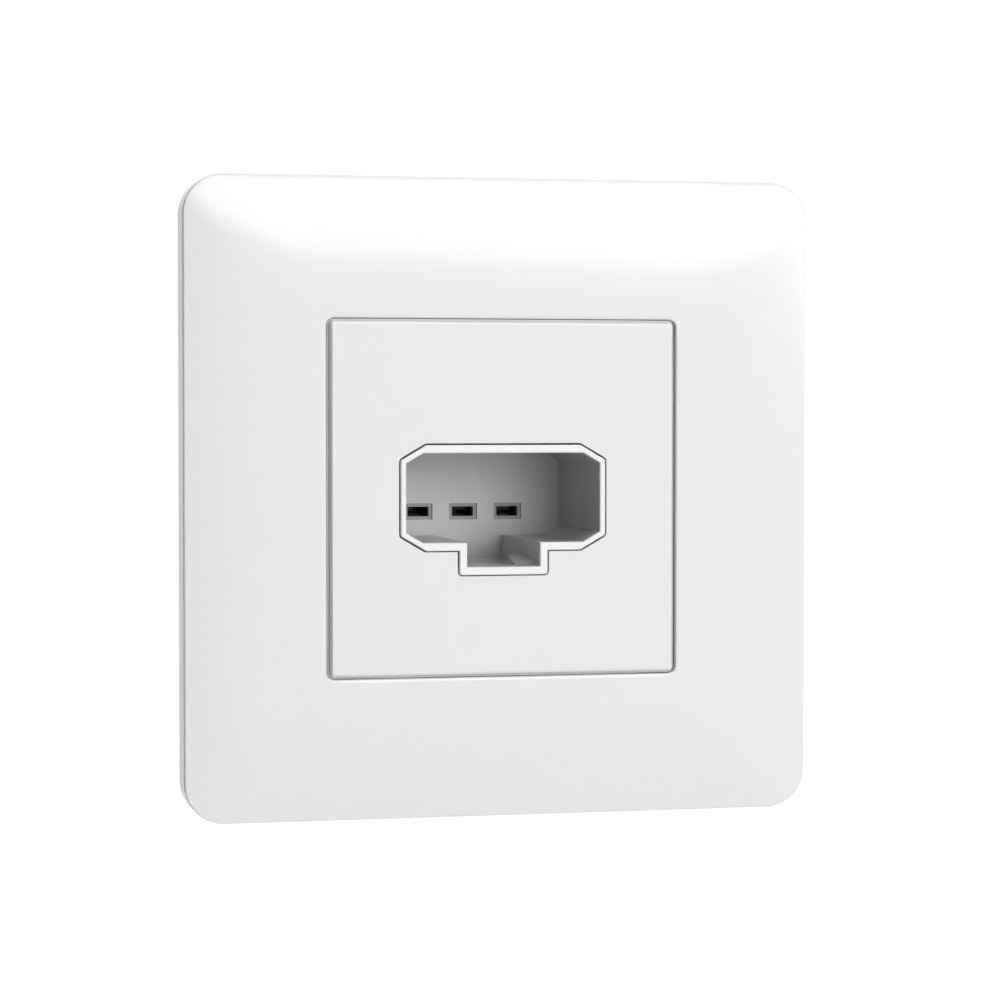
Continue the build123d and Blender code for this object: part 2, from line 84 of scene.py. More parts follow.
# Camera: sensor in millimetres, clipping in metres
SENSOR_WIDTH = 36.0
CLIP_START = 0.01
CLIP_END = 50.0


# Property helpers


def length(name, millimetres, description):
    """A length property, given in millimetres and kept in metres."""
    return FloatProperty(name=name, description=description, default=millimetres * MM,
                         unit="LENGTH", precision=5)


def share(name, default, description):
    """A number from 0 to 1."""
    return FloatProperty(name=name, description=description, default=default,
                         min=0.0, max=1.0, subtype="FACTOR")


def number(name, default, description):
    """A plain number."""
    return FloatProperty(name=name, description=description, default=default)


def turn(name, degrees, description):
    """An angle, given in degrees and kept in radians."""
    return FloatProperty(name=name, description=description, default=radians(degrees),
                         subtype="ANGLE")


def colour(name, default, description):
    """A linear colour."""
    return FloatVectorProperty(name=name, description=description, default=default,
                               min=0.0, max=1.0, size=3, subtype="COLOR")


def spot(name, default, description):
    """A place, or a reach along each axis, in metres."""
    return FloatVectorProperty(name=name, description=description, default=default,
                               size=3, subtype="TRANSLATION")


def steps(name, default, description):
    """A count of divisions in a mesh."""
    return IntProperty(name=name, description=description, default=default, min=1)


# Settings


class PlateSettings(PropertyGroup):
    """Sizes of the pillow-fronted cover plate."""

    corner: length("Corner radius", 5.0, "Radius of the plate's four corners")
    edge_height: length("Edge height", 5.4, "Height of the front where it meets the edge")
    swell: length("Swell", 1.0, "Rise of the front from its edge to its middle")
    swell_power: number("Swell power", 6.0, "How late the front falls away towards its edge")
    edge_round: length("Edge round", 0.2, "Rounding between the front and the edge")
    opening: length("Opening half width", 22.85, "Half the width of the square opening")
    opening_corner: length("Opening corner", 1.0, "Corner radius of the opening")
    opening_bevel: length("Opening bevel", 0.2, "Bevel of the opening's front edge")
    bevel_power: number("Bevel power", 1.25, "Form of that bevel: 1 is flat and 2 is round")
    groove_height: length("Groove height", 4.5, "Height of the lower side of the shadow groove")
    groove_width: length("Groove width", 0.55, "Width of the shadow groove round the edge")
    groove_depth: length("Groove depth", 0.5, "Depth of the shadow groove")
    wall: length("Wall", 1.8, "Thickness of the side wall")
    cavity: length("Cavity height", 3.6, "Height of the ceiling of the hollow back")
    collar: length("Collar wall", 1.2, "Thickness of the collar round the opening")
    collar_foot: length("Collar foot", 1.4, "Height of the foot of the collar")
    foot_round: length("Foot round", 0.12, "Rounding of the edge that meets the wall")
    arc_steps: steps("Arc steps", 24, "Divisions of each corner")
    side_steps: steps("Side steps", 40, "Divisions of each straight side")
    front_steps: steps("Front steps", 56, "Divisions of the front from opening to edge")
    round_steps: steps("Round steps", 8, "Divisions of each small rounding")


class InsertSettings(PropertyGroup):
    """Sizes of the square insert with the keyed cut-out."""

    half: length("Half width", 22.5, "Half the width of the front")
    corner: length("Corner radius", 0.6, "Radius of the insert's four corners")
    front: length("Front height", 6.45, "Height of the flat front")
    step_depth: length("Step depth", 0.65, "Depth of the step round the sides, below the front")
    step_gap: length("Step gap", 0.1, "Clearance between the step and the plate's opening")
    face: length("Face thickness", 1.8, "Thickness of the front face")
    skirt: length("Skirt wall", 1.2, "Thickness of the skirt")
    foot: length("Skirt foot", 1.2, "Height of the skirt's foot")
    edge_bevel: length("Edge bevel", 0.38, "Bevel of the front's outer edge")
    bevel_power: number("Bevel power", 1.25, "Form of that bevel: 1 is flat and 2 is round")
    cut_round: length("Cut-out round", 0.1, "Rounding of the cut-out's front edge")
    gap: length("Rim gap", 0.22, "Clearance between the socket's rim and the cut-out")
    gap_below: length("Rim gap below", 0.14, "Clearance under the rim's lower sides")
    rim_side: length("Rim wall at the sides", 0.68, "Thickness of the rim at its left and right")
    rim_top: length("Rim wall above and below", 1.0, "Thickness of the rim above and below")
    rim_key: length("Rim wall at the key", 0.97, "Thickness of the rim beside the key channel")
    side_round: length("Side rounding", 0.67, "Rounding of the cut-out's outer corners")
    key_round: length("Key rounding", 0.62, "Rounding of the cut-out's key corners")
    arc_steps: steps("Arc steps", 8, "Divisions of each rounded corner")
    round_steps: steps("Round steps", 8, "Divisions of each small rounding")


class SocketSettings(PropertyGroup):
    """Sizes of the socket's keyed mouth, and boxes round the parts of its well that get painted shade.
    """

    half: length("Half width", 12.70, "Half the width of the mouth")
    top: length("Top", 5.75, "Height of the mouth's upper side above the middle")
    bottom: length("Bottom", 5.69, "Depth of the mouth's lower sides below the middle")
    slant_width: length("Slant width", 2.24, "Width of each slanted corner")
    slant_rise: length("Slant rise", 1.30, "Height of each slanted corner")
    key_half: length("Key half width", 4.79, "Half the width of the key channel")
    key_bottom: length("Key bottom", 8.80, "Depth of the key channel's floor below the middle")
    # Boxes of painted shade: the well, its right wall, its ceiling and the row of slot recesses.
    well_place: spot("Well place", (0.0, 0.0046, -0.0016), "Middle of the well")
    well_reach: spot("Well reach", (0.0129, 0.0109, 0.0075), "Half the size of a box round the well")
    wall_place: spot("Wall place", (0.0128, 0.003825, 0.0), "Middle of the well's right wall")
    wall_reach: spot("Wall reach", (0.0005, 0.010125, 0.0062), "Half the size of a box round that wall")
    ceiling_place: spot("Ceiling place", (0.0, 0.003825, 0.0055),
                        "Middle of the well's ceiling and upper slants")
    ceiling_reach: spot("Ceiling reach", (0.0128, 0.010125, 0.0011),
                        "Half the size of a box round that ceiling")
    recess_place: spot("Recess place", (-0.00069, 0.01475, -0.00238),
                       "Middle of the row of slot recesses")
    recess_reach: spot("Recess reach", (0.0090, 0.0007, 0.0012), "Half the size of a box round that row")


class LegSettings(PropertyGroup):
    """Sizes of the barbed clip legs behind the plate and the insert."""

    reach: length("Reach", 2.2, "How far a leg reaches behind the wall face")
    barb: length("Barb", 0.5, "How far the barb stands out")
    catch: length("Catch depth", 0.15, "Distance of the catch behind the wall face")
    nose: length("Nose", 1.1, "Length of the barb's tapered nose")
    plate_place: length("Plate leg place", 13.0, "Distance of the plate's legs from the middle")
    width: length("Width", 6.0, "Width of each leg")
    insert_place: length("Insert leg place", 11.0, "Distance of the insert's legs from the middle")


class FinishSettings(PropertyGroup):
    """Colours and gloss of the finishes, and tones of painted shade."""

    white: colour("White", (0.80, 0.80, 0.80), "Colour of the white mouldings")
    socket: colour("Socket white", (0.86, 0.86, 0.86), "Colour of the socket moulding")
    housing: colour("Housing grey", (0.17, 0.175, 0.18), "Colour of the glass-filled housing")
    zinc: colour("Zinc", (0.62, 0.63, 0.64), "Colour of the galvanised sheet")
    screw: colour("Screw steel", (0.60, 0.59, 0.57), "Colour of the plated screws")
    brass: colour("Brass", (0.72, 0.52, 0.24), "Colour of the terminal cages")
    tin: colour("Tin", (0.72, 0.72, 0.70), "Colour of the tinned contact strips")
    gloss: share("Front roughness", 0.135, "Roughness of the glossy white front")
    satin: share("Socket roughness", 0.30, "Roughness of the socket moulding")
    # Painted shade: the well's walls are darker than the rim, as little light reaches into the well.
    well: share("Well tone", 0.67, "Tone of the well's walls beside the rim's")
    # Painted shade on the well's right wall and ceiling, which the lamps reach least.
    painted_lee_shade: share("Lee tone", 0.54, "Tone of the well's right wall and ceiling beside the rim's")
    # Painted shade in the recesses round the slots.
    painted_recess_shade: share("Recess tone", 0.35, "Tone of the slots' recesses beside the rim's")
    # Painted shade in the gap round the insert and on the bevels beside it.
    gap: share("Gap tone", 0.65, "Tone of the gap round the insert beside the front's")


class StageSettings(PropertyGroup):
    """Camera, lamps and floor."""

    camera_place: spot("Camera place", (-0.0902512, -0.3827650, 0.0116168), "Where the camera stands")
    camera_target: spot("Camera target", (0.0010572, 0.0, -0.0004593),
                        "The point in the middle of the picture")
    lens: number("Lens", 109.283, "Focal length in millimetres on a 36 mm sensor")
    floor_drop: length("Floor drop", 300.0, "How far the floor lies below the middle")
    floor_size: length("Floor size", 12000.0, "Width of the floor")
    floor_white: share("Floor white", 0.8, "Diffuse colour of the floor")
    floor_glow: share("Floor glow", 1.0, "Light that the floor shows to the camera by itself")
    fill: number("Fill", 0.0, "Strength of the light from all round")
    key_radiance: number("Key radiance", 5.0, "Brightness of the long soft box")
    key_azimuth: turn("Key azimuth", 31.0, "Bearing of the long soft box, to the right")
    key_elevation: turn("Key elevation", 12.2, "Height of the long soft box")
    key_roll: turn("Key roll", -11.0, "Roll of the long soft box")
    key_width: length("Key width", 2000.0, "Width of the long soft box")
    key_tall: length("Key height", 420.0, "Height of the long soft box")
    front_radiance: number("Front radiance", 4.85, "Brightness of the front lamp, which no gloss shows")
    front_azimuth: turn("Front azimuth", 14.0, "Bearing of the front lamp")
    front_elevation: turn("Front elevation", -1.0, "Height of the front lamp")
    front_width: length("Front width", 930.0, "Width of the front lamp")
    front_tall: length("Front height", 450.0, "Height of the front lamp")
    top_radiance: number("Top radiance", 3.4, "Brightness of the lamp overhead")
    top_azimuth: turn("Top azimuth", 0.0, "Bearing of the lamp overhead")
    top_elevation: turn("Top elevation", 78.0, "Height of the lamp overhead")
    top_width: length("Top width", 1000.0, "Width of the lamp overhead")
    top_tall: length("Top height", 1000.0, "Height of the lamp overhead")
    side_radiance: number("Side radiance", 0.2, "Brightness of the soft lamp behind and to the left")
    side_azimuth: turn("Side azimuth", -115.0, "Bearing of the soft lamp behind and to the left")
    side_elevation: turn("Side elevation", 0.0, "Height of the soft lamp behind and to the left")
    side_width: length("Side width", 1600.0, "Width of the soft lamp behind and to the left")
    side_tall: length("Side height", 1200.0, "Height of the soft lamp behind and to the left")
    back_radiance: number("Back radiance", 3.6, "Brightness of the soft lamp behind the outlet")
    back_azimuth: turn("Back azimuth", 165.0, "Bearing of the soft lamp behind the outlet")
    back_elevation: turn("Back elevation", 20.0, "Height of the soft lamp behind the outlet")
    back_width: length("Back width", 1200.0, "Width of the soft lamp behind the outlet")
    back_tall: length("Back height", 1000.0, "Height of the soft lamp behind the outlet")
    lamp_distance: length("Lamp distance", 1500.0, "Distance of the lamps from the outlet")


# Shapes


def rounded_square(half, radius, arc_steps, side_steps):
    """Rings of rounded squares, one for each entry of half and radius.

    A quarter is an arc of the radius about (half - radius, half - radius), then the straight side
    to the next arc; the other quarters are the first one turned by 90, 180 and 270 degrees.
    """
    half = np.atleast_1d(half).astype(float)[:, None]
    radius = np.atleast_1d(radius).astype(float)[:, None]
    angle = np.linspace(0, pi / 2, arc_steps + 1)
    arc_x = half - radius + radius * np.cos(angle)
    arc_z = half - radius + radius * np.sin(angle)
    along = np.linspace(0, 1, side_steps + 1)[1:-1]
    side_x = (half - radius) * (1 - 2 * along)
    side_z = half + 0 * side_x
    x = np.concatenate([arc_x, side_x], axis=1)
    z = np.concatenate([arc_z, side_z], axis=1)
    ring_x = np.concatenate([x, -z, -x, z], axis=1)
    ring_z = np.concatenate([z, x, -z, -x], axis=1)
    return ring_x, ring_z


def outline_share(x, z, half, radius):
    """Size of the rounded square through (x, z), as a share of the square of that half width.

    On a side the share is the larger coordinate over the half width. At a corner it solves
    |p - s c| = s r for the arc's centre c and radius r.
    """
    far = np.maximum(np.abs(x), np.abs(z))
    near = np.minimum(np.abs(x), np.abs(z))
    straight = half - radius
    reach = far ** 2 + near ** 2
    lean = straight * (far + near)
    inside = np.maximum(lean ** 2 - reach * (2 * straight ** 2 - radius ** 2), 0)
    corner = reach / np.maximum(lean + np.sqrt(inside), TINY)
    return np.where(near * half <= far * straight, far / half, corner)


def rounded_polygon(points, radii, arc_steps):
    """A polygon with each corner replaced by an arc of its radius.

    The arc is the rational quadratic curve on the two tangent points and the corner, with the
    cosine of half the turn as the corner's weight, which is an exact circle. A corner of radius 0
    gives the same point again, and such repeats are dropped.
    """
    points = np.asarray(points, float)
    radii = np.asarray(radii, float)[:, None]
    back = np.roll(points, 1, axis=0) - points
    ahead = np.roll(points, -1, axis=0) - points
    back /= np.linalg.norm(back, axis=1, keepdims=True)
    ahead /= np.linalg.norm(ahead, axis=1, keepdims=True)
    turned = pi - np.arccos(np.clip((back * ahead).sum(axis=1, keepdims=True), -1, 1))
    tangent = radii * np.tan(turned / 2)
    start = (points + back * tangent)[:, None, :]
    end = (points + ahead * tangent)[:, None, :]
    t = np.linspace(0, 1, arc_steps + 1)[None, :, None]
    weight = np.cos(turned / 2)[:, None, :]
    middle = 2 * t * (1 - t) * weight
    curve = ((1 - t) ** 2 * start + middle * points[:, None, :] + t ** 2 * end)
    curve = (curve / ((1 - t) ** 2 + middle + t ** 2)).reshape(-1, 2)
    fresh = np.linalg.norm(curve - np.roll(curve, 1, axis=0), axis=1) > SAME_POINT
    return curve[fresh]


def keyed_outline(mouth, grow_side, grow_top, grow_below, grow_key, side_round, key_round, arc_steps):
    """The socket's outline: a wide octagon with a key channel below, grown by four amounts.

    The slanted sides move square to themselves by the side's growth, so that shoulders and foot
    follow from the slant's angle.
    """
    slant = atan2(mouth.slant_rise, mouth.slant_width)
    side = mouth.half + grow_side

    def shoulder(grow):
        return mouth.half - mouth.slant_width + (grow_side - grow * cos(slant)) / sin(slant)

    foot = mouth.slant_rise - grow_side * (1 - sin(slant)) / cos(slant)
    bottom = -mouth.bottom - grow_below
    key = mouth.key_half + grow_key
    right = np.array([
        (key, -mouth.key_bottom - grow_below), (key, bottom), (shoulder(grow_below), bottom),
        (side, foot - mouth.bottom), (side, mouth.top - foot),
        (shoulder(grow_top), mouth.top + grow_top),
    ])
    left = right[::-1] * (-1, 1)
    rounds = [key_round, 0, side_round, side_round, side_round, side_round]
    return rounded_polygon(np.concatenate([right, left]), rounds + rounds[::-1], arc_steps)


def polar_ring(polygon, centre, bearings):
    """Where rays from the centre at those bearings meet a closed polygon.

    Each ray p = c + r d is solved against every edge, and the nearest crossing ahead is kept.
    """
    ray = np.stack([np.cos(bearings), np.sin(bearings)], axis=1)[:, None, :]
    start = (polygon - centre)[None, :, :]
    edge = (np.roll(polygon, -1, axis=0) - polygon)[None, :, :]
    cross = ray[..., 0] * edge[..., 1] - ray[..., 1] * edge[..., 0]
    cross = np.where(np.abs(cross) < PARALLEL, PARALLEL, cross)
    reach = (start[..., 0] * edge[..., 1] - start[..., 1] * edge[..., 0]) / cross
    along = (start[..., 0] * ray[..., 1] - start[..., 1] * ray[..., 0]) / cross
    hit = (reach > 0) & (along > -EDGE_SLACK) & (along < 1 + EDGE_SLACK)
    nearest = np.where(hit, reach, np.inf).min(axis=1)
    return centre + ray[:, 0, :] * nearest[:, None]


def bearings_of(polygon, centre):
    """Bearings of a polygon's points from the centre."""
    return np.arctan2(polygon[:, 1] - centre[1], polygon[:, 0] - centre[0])


def quarter(start, end, divisions):
    """Angles of a rounding, from start to end in degrees."""
    return np.radians(np.linspace(start, end, divisions + 1))


def bevel(power, divisions):
    """A bevel of size 1 from a side to the front, as shares inwards from the side and down.

    It is the quarter of |u| ** n + |v| ** n = 1, from the foot (0, 1) to the top (1, 0): power 1
    gives a flat bevel and power 2 a round.
    """
    angle = quarter(0, 90, divisions)
    return 1 - np.cos(angle) ** (2 / power), 1 - np.sin(angle) ** (2 / power)


def frame_boxes(inner, outer):
    """Middles and reaches of the four boxes of a square frame: left, right, below and above."""
    middle, reach = (outer + inner) / 2, (outer - inner) / 2
    upright, level = (reach, outer, outer), (outer, outer, reach)
    return [((-middle, 0.0, 0.0), upright), ((middle, 0.0, 0.0), upright),
            ((0.0, 0.0, -middle), level), ((0.0, 0.0, middle), level)]


def ring_faces(rows, columns):
    """Quads of a grid that closes on itself in both directions, row by row."""
    index = np.arange(rows * columns).reshape(rows, columns)
    across = np.roll(index, -1, axis=1)
    return np.stack([index, across, np.roll(across, -1, axis=0), np.roll(index, -1, axis=0)],
                    axis=2).reshape(-1, 4)


def leg_profile(legs, root, wall_inner, thick):
    """Outline of a clip leg in (distance out from the opening, height), from root to barbed tip.

    The inner side is straight, the outer side steps out to the barb and tapers to the tip.
    """
    barb = legs.barb
    return np.array([
        (wall_inner, root), (wall_inner, -legs.reach), (wall_inner + thick / 2, -legs.reach),
        (wall_inner + thick + barb, -legs.reach + legs.nose),
        (wall_inner + thick + barb, -legs.catch), (wall_inner + thick, -legs.catch),
        (wall_inner + thick, root),
    ])


def put_mesh(name, points, quads, caps):
    """A smooth mesh object from arrays, with edges sharper than the smoothing angle kept sharp."""
    mesh = bpy.data.meshes.new(name)
    mesh.from_pydata(points.tolist(), [], quads.tolist() + caps.tolist())
    mesh.validate()
    mesh.shade_smooth()
    mesh.set_sharp_from_angle(angle=SMOOTH_ANGLE)
    mesh.update()
    made = bpy.data.objects.new(name, mesh)
    bpy.context.scene.collection.objects.link(made)
    return made


def fresh_start(name):
    """Removes an earlier piece of the name, so that an operator can run again."""
    old = bpy.data.objects.get(name)
    if old is not None:
        bpy.data.objects.remove(old, do_unlink=True)


def place_piece(piece, node, finish):
    """Gives a piece its finish in a material slot, puts it on its body and hides the node it stands for.
    """
    piece.data.materials.append(finish)
    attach(piece, CARRIER)
    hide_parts(node)


def legs_mesh(profile, width, places, turns):
    """Clip legs as prisms of one profile, as points and faces.

    The profile lies in (out, height). Each leg is that profile drawn out by its width about its
    place along the opening's side, and turned about Y to its own side of the opening.
    """
    count = len(profile)
    offset = np.array([-width / 2, width / 2])
    out = np.broadcast_to(profile[:, 0], (len(places), 2, count))
    height = np.broadcast_to(profile[:, 1], (len(places), 2, count))
    along = (np.asarray(places)[:, None, None] + offset[None, :, None]) + 0 * out
    angle = np.radians(turns)[:, None, None]
    x = along * np.cos(angle) - out * np.sin(angle)
    z = along * np.sin(angle) + out * np.cos(angle)
    points = np.stack([x, -height, z], axis=-1).reshape(-1, 3)
    first = np.arange(count)
    after = np.roll(first, -1)
    sides = np.stack([first, after, after + count, first + count], axis=1)
    base = (np.arange(len(places)) * 2 * count)[:, None, None]
    quads = (sides[None] + base).reshape(-1, 4)
    caps = np.concatenate([first[::-1][None], first[None] + count])[None] + base
    return points, quads, caps.reshape(-1, count)


def put_with_legs(name, points, quads, legs, profile, place, turns):
    """A piece of the name from a closed surface and its four clip legs, in pairs about the middle."""
    fresh_start(name)
    leg_points, leg_quads, leg_caps = legs_mesh(profile, legs.width, [-place, place] * 2, turns)
    count = len(points)
    return put_mesh(name, np.concatenate([points, leg_points]),
                    np.concatenate([quads, leg_quads + count]), leg_caps + count)


# Finishes


class Flow:
    """A node socket with arithmetic: an expression on values adds the Math nodes it needs."""

    def __init__(self, graph, socket):
        self.graph = graph
        self.socket = socket

    def _math(self, operation, first, second):
        return self.graph.add("ShaderNodeMath", {"operation": operation}, {0: first, 1: second})

    def __add__(self, other):
        return self._math("ADD", self, other)

    def __radd__(self, other):
        return self._math("ADD", other, self)

    def __mul__(self, other):
        return self._math("MULTIPLY", self, other)

    def __rmul__(self, other):
        return self._math("MULTIPLY", other, self)

    def __lt__(self, other):
        return self._math("LESS_THAN", self, other)

    def most(self, other):
        """The larger of two values."""
        return self._math("MAXIMUM", self, other)


class Graph:
    """The node tree of a material or the world."""

    def __init__(self, owner):
        owner.use_nodes = True
        self.tree = owner.node_tree
        self.tree.nodes.clear()
        is_world = isinstance(owner, bpy.types.World)
        self.end = "ShaderNodeOutputWorld" if is_world else "ShaderNodeOutputMaterial"

    def add(self, kind, settings=None, sockets=None, output=0):
        """Adds a node: its settings first, then values or links of its sockets by name or place."""
        node = self.tree.nodes.new(kind)
        for name, value in (settings or {}).items():
            setattr(node, name, value)
        for name, value in (sockets or {}).items():
            if isinstance(value, Flow):
                self.tree.links.new(value.socket, node.inputs[name])
            else:
                node.inputs[name].default_value = value
        return Flow(self, node.outputs[output]) if len(node.outputs) else node

    def noise(self, place, scale, detail=2.0, roughness=0.5):
        """Fractal noise from 0 to 1 on a vector, with its scale in features for each metre."""
        return self.add("ShaderNodeTexNoise", {"noise_dimensions": "3D"},
                        {"Vector": place, "Scale": scale, "Detail": detail,
                         "Roughness": roughness})

    def cells(self, place, scale, output="Distance"):
        """Cell pattern on a vector, with its scale in cells for each metre."""
        return self.add("ShaderNodeTexVoronoi", {"feature": "F1"},
                        {"Vector": place, "Scale": scale}, output)

    def ramp(self, value, low, high):
        """0 below the low value, 1 above the high one and a straight rise between."""
        made = self.add("ShaderNodeValToRGB", {}, {"Fac": value})
        first, last = made.socket.node.color_ramp.elements
        first.position, last.position = low, high
        return made

    def blend(self, factor, first, second):
        """Mix of two colours."""
        return self.add("ShaderNodeMix", {"data_type": "RGBA"},
                        {0: factor, 6: first, 7: second}, 2)

    def stretch(self, place, scale):
        """Object coordinates scaled by a different amount along each axis."""
        return self.add("ShaderNodeVectorMath", {"operation": "MULTIPLY"}, {0: place, 1: scale})

    def inside(self, place, middle, reach):
        """1 inside a box about the middle, else 0: max |p - m| - r is below 0 there."""
        away = self.add("ShaderNodeVectorMath", {"operation": "SUBTRACT"}, {0: place, 1: middle})
        size = self.add("ShaderNodeVectorMath", {"operation": "ABSOLUTE"}, {0: away})
        over = self.add("ShaderNodeVectorMath", {"operation": "SUBTRACT"}, {0: size, 1: reach})
        apart = self.add("ShaderNodeSeparateXYZ", {}, {0: over}).socket.node.outputs
        x, y, z = (Flow(self, socket) for socket in apart)
        return x.most(y).most(z) < 0.0

    def object_place(self):
        """Object coordinates, in metres."""
        return self.add("ShaderNodeTexCoord", output="Object")

    def bump(self, height, strength, distance):
        """Normal from a height, with the distance in metres."""
        return self.add("ShaderNodeBump", {}, {"Strength": strength, "Distance": distance,
                                               "Height": height})

    def surface(self, shader):
        """Ends the tree in its output node."""
        self.add(self.end, {}, {"Surface": shader})

    def principled(self, sockets):
        """Ends the tree in a Principled shader with those sockets."""
        self.surface(self.add("ShaderNodeBsdfPrincipled", {}, sockets))


def dimmed(value, amount):
    """A colour scaled by an amount."""
    return tuple(min(1.0, channel * amount) for channel in value) + (1.0,)


def new_material(name):
    """An empty material of the name and its node graph."""
    old = bpy.data.materials.get(name)
    if old is not None:
        old.name = name + ".old"
    made = bpy.data.materials.new(name)
    return made, Graph(made)


def moulded_white(name, tint, roughness, grain, painted_shades):
    """Injection-moulded white plastic: faint flow marks in the colour, fine grain in the gloss.

    Each shade holds the middle and reach of a box in which the colour is darker, and its tone: painted
    shade where little light reaches.
    """
    made, graph = new_material(name)
    place = graph.object_place()
    flow = graph.noise(graph.stretch(place, (1.0, 1.0, 0.35)), scale=60.0, detail=3.0)
    fine = graph.noise(place, scale=5200.0)
    swirl = graph.noise(place, scale=420.0)
    base = graph.blend(flow, dimmed(tint, 0.988), dimmed(tint, 1.01))
    # Painted shade: inside each box the colour is darkened to the box's tone.
    for middle, reach, tone in painted_shades:
        base = graph.blend(graph.inside(place, middle, reach), base, dimmed(tint, tone))
    rough = roughness * (0.90 + 0.12 * swirl + 0.08 * fine)
    normal = graph.bump(fine, grain, GRAIN_DEPTH)
    graph.principled({
        "Base Color": base, "Roughness": rough, "Normal": normal, "IOR": PLASTIC_IOR,
    })
    return made


def glass_filled(name, tint):
    """Glass-filled housing plastic: short pale fibres and a dull, finely pitted surface."""
    made, graph = new_material(name)
    place = graph.object_place()
    fibres = graph.noise(graph.stretch(place, (1.0, 0.2, 1.0)), scale=2600.0, detail=4.0,
                         roughness=0.7)
    clouds = graph.noise(place, scale=180.0, detail=3.0)
    pits = graph.cells(place, scale=3200.0)
    fleck = graph.ramp(fibres, low=0.60, high=0.74)
    ground = graph.blend(clouds, dimmed(tint, 0.90), dimmed(tint, 1.08))
    base = graph.blend(0.35 * fleck, ground, dimmed(tint, 1.7))
    normal = graph.bump(pits, 0.25, PIT_DEPTH)
    graph.principled({
        "Base Color": base, "Roughness": 0.48 + 0.14 * clouds, "Normal": normal,
        "IOR": GLASS_FILLED_IOR,
    })
    return made


def galvanised(name, tint):
    """Galvanised sheet: zinc spangles that differ in tone and gloss, over a fine rolled grain."""
    made, graph = new_material(name)
    place = graph.object_place()
    warp = graph.noise(place, scale=500.0)
    spangle = graph.cells(place, scale=260.0, output="Color")
    tone = graph.add("ShaderNodeSeparateColor", {}, {0: spangle})
    rolled = graph.noise(graph.stretch(place, (1.0, 1.0, 0.05)), scale=3000.0, detail=3.0)
    base = graph.blend(0.7 * tone + 0.3 * warp, dimmed(tint, 0.84), dimmed(tint, 1.12))
    normal = graph.bump(rolled, 0.15, GRAIN_DEPTH)
    graph.principled({
        "Base Color": base, "Roughness": 0.30 + 0.14 * tone + 0.08 * rolled, "Metallic": 1.0,
        "Normal": normal,
    })
    return made


def drawn_metal(name, tint, roughness, run, tarnish):
    """Drawn or turned metal: streaks along one axis and a little darker tarnish in patches."""
    made, graph = new_material(name)
    place = graph.object_place()
    streak = graph.noise(graph.stretch(place, run), scale=2600.0, detail=3.0, roughness=0.6)
    patch = graph.noise(place, scale=340.0, detail=3.0)
    clean = graph.blend(streak, dimmed(tint, 0.92), dimmed(tint, 1.08))
    base = graph.blend(tarnish * patch, clean, dimmed(tint, 0.45))
    normal = graph.bump(streak, 0.2, GRAIN_DEPTH)
    graph.principled({
        "Base Color": base, "Roughness": roughness + 0.12 * streak + 0.10 * patch,
        "Metallic": 1.0, "Normal": normal,
    })
    return made


def finish_node(node, material):
    """Puts a finish on every material slot of a CAD node."""
    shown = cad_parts[node]
    for slot in shown.material_slots:
        slot.link = "OBJECT"
        slot.material = material


# Operators


